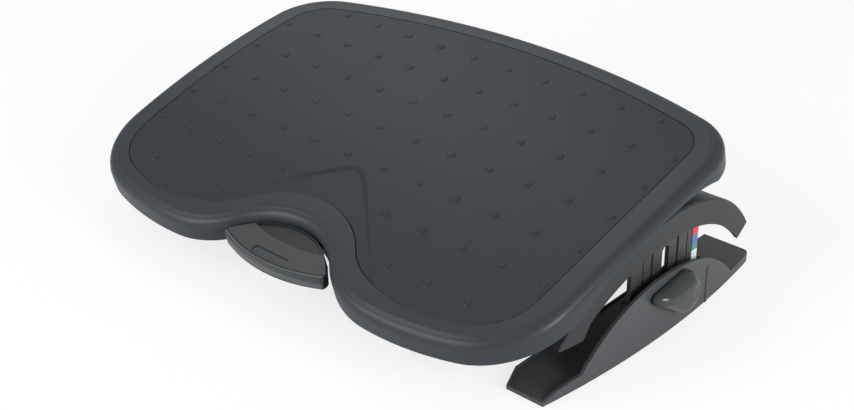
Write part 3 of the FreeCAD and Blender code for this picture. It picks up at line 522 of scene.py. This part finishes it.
def fanLift(x, u):
    # a smooth step down inside the two creases, which fades towards the notch
    inside = fan["apex"] - u - (np.sqrt(x * x + fan["round"] ** 2) - fan["round"])
    step = np.clip(inside / fan["soft"], 0, 1)
    fade = 1 - fan["fadeShare"] * np.clip(inside / fan["fade"], 0, 1)
    return -fan["depth"] * step * step * (3 - 2 * step) * fade


def onMat(flat, drop):
    lift = crownLift(flat[:, 1]) + fanLift(flat[:, 0], flat[:, 1])
    return toWorld(flat[:, 0], flat[:, 1], lift - drop)


def matRows():
    edge, out = outlineLoop(matEdge)
    edge = edge - mat["gap"] * out
    soft = mat["border"]
    rows = []
    # down the wall, then a quarter circle onto the crown
    for drop in (mat["depth"] - mat["lift"], soft):
        rows.append(toWorld(edge[:, 0], edge[:, 1], crownLift(edge[:, 1]) - drop))
    for a in np.linspace(0, math.pi / 2, mat["borderRows"])[1:]:
        rows.append(onMat(edge - out * soft * (1 - math.cos(a)), soft * (1 - math.sin(a))))
    start = edge - out * soft
    for t in np.linspace(0, 1, mat["rings"])[1:-1]:
        rows.append(onMat(start + (np.array(mat["middle"]) - start) * t, 0.0))
    return rows


def dotRings(x, u):
    turns = np.linspace(0, 2 * math.pi, dots["turns"], endpoint=False)
    rings = []
    for r in np.linspace(1.0, dots["innerShare"], dots["rings"]):
        ringX = x + dots["radius"] * r * np.cos(turns)
        ringU = u + dots["radius"] * r * np.sin(turns)
        rise = dots["height"] * (1 - r * r) ** dots["power"] - dots["sink"] * (r == 1.0)
        rings.append(toWorld(ringX, ringU, crownLift(ringU) + rise))
    return rings


def makeMat():
    rows = matRows()
    columns = len(rows[0])
    middleX, middleU = mat["middle"]
    points = np.concatenate([*rows, toWorld(middleX, middleU, crownLift(middleU))[None]])
    faces = gridFaces(len(rows), columns)[:, ::-1].tolist()
    last = (len(rows) - 1) * columns
    hub = len(points) - 1
    faces += [(last + (i + 1) % columns, last + i, hub) for i in range(columns)]
    for x, u in dotPlaces():
        first = len(points)
        rings = dotRings(x, u)
        points = np.concatenate([points, *rings])
        faces += (gridFaces(len(rings), dots["turns"]) + first).tolist()
        faces.append(list(range(len(points) - dots["turns"], len(points))))
    addPiece("mat_surface", points, faces, "platform", "mat_rubber", ["foot_mat"])


# Knobs: a leaf outline between two round ends, drawn in towards a core and domed, with a dish.
# By the share s of the way out the dome stands (1 - s^swell)^fall of its height
knob = {"base": 0.2887, "height": 0.0144, "swell": 3.4, "fall": 0.5, "rings": 60, "columns": 120,
        "roundY": 0.035, "roundZ": 0.037, "round": 0.0195, "roundSteps": 90,
        "noseY": -0.0034, "noseZ": 0.0464, "nose": 0.0052, "noseSteps": 40,
        "core": (0.0300, 0.0382), "coreShare": 0.01, "dishY": 0.0400, "dishZ": 0.0390,
        "dish": 0.0052, "dishDepth": 0.0011, "dishPower": 4, "sharp": 60.0}


def leafLoop():
    # a round end and a pointed end joined by tangents, as points at even steps of arc length
    dy = knob["noseY"] - knob["roundY"]
    dz = knob["noseZ"] - knob["roundZ"]
    along = math.atan2(dz, dy)
    swing = math.acos((knob["round"] - knob["nose"]) / math.hypot(dy, dz))

    def arc(end, angles):
        return np.stack([knob[end + "Y"] + knob[end] * np.cos(angles),
                         knob[end + "Z"] + knob[end] * np.sin(angles)], axis=1)

    path = np.concatenate([
        arc("round", along + np.linspace(swing, 2 * math.pi - swing, knob["roundSteps"])),
        arc("nose", along + np.linspace(-swing, swing, knob["noseSteps"]))])
    path = np.concatenate([path, path[:1]])
    run = np.concatenate([[0], np.cumsum(np.hypot(*np.diff(path, axis=0).T))])
    steps = np.linspace(0, run[-1], knob["columns"], endpoint=False)
    return np.stack([np.interp(steps, run, path[:, 0]), np.interp(steps, run, path[:, 1])], axis=1)


def makeKnob(name, side):
    loop = leafLoop()
    core = np.array(knob["core"])
    rows = []
    for s in np.sin(np.linspace(math.pi / 2, knob["coreShare"], knob["rings"])):
        flat = core + (loop - core) * s
        rise = knob["height"] * (1 - s ** knob["swell"]) ** knob["fall"]
        away = np.hypot(flat[:, 0] - knob["dishY"], flat[:, 1] - knob["dishZ"]) / knob["dish"]
        rise = rise - knob["dishDepth"] * np.exp(-away ** knob["dishPower"])
        rows.append(np.stack([side * (knob["base"] + rise), flat[:, 0], flat[:, 1]], axis=1))
    # the mirrored knob's faces run the other way round
    faces = gridFaces(len(rows), len(loop))[:, ::side].tolist()
    addPiece(name + "_dome", np.concatenate(rows), faces, name, "knob_plastic", [name], knob["sharp"])


bpy.context.scene.view_settings.view_transform = "Standard"
makeCamera()
makeFloor()
makeSky()
makeLamps()
print("camera, floor, sky and lamps made")
makeFinishes()
dressNodes()
print("finishes on", len(nodes), "nodes")
makeRim()
makeMat()
makeKnob("right_knob", 1)
makeKnob("left_knob", -1)
print("rim, mat and knobs made")
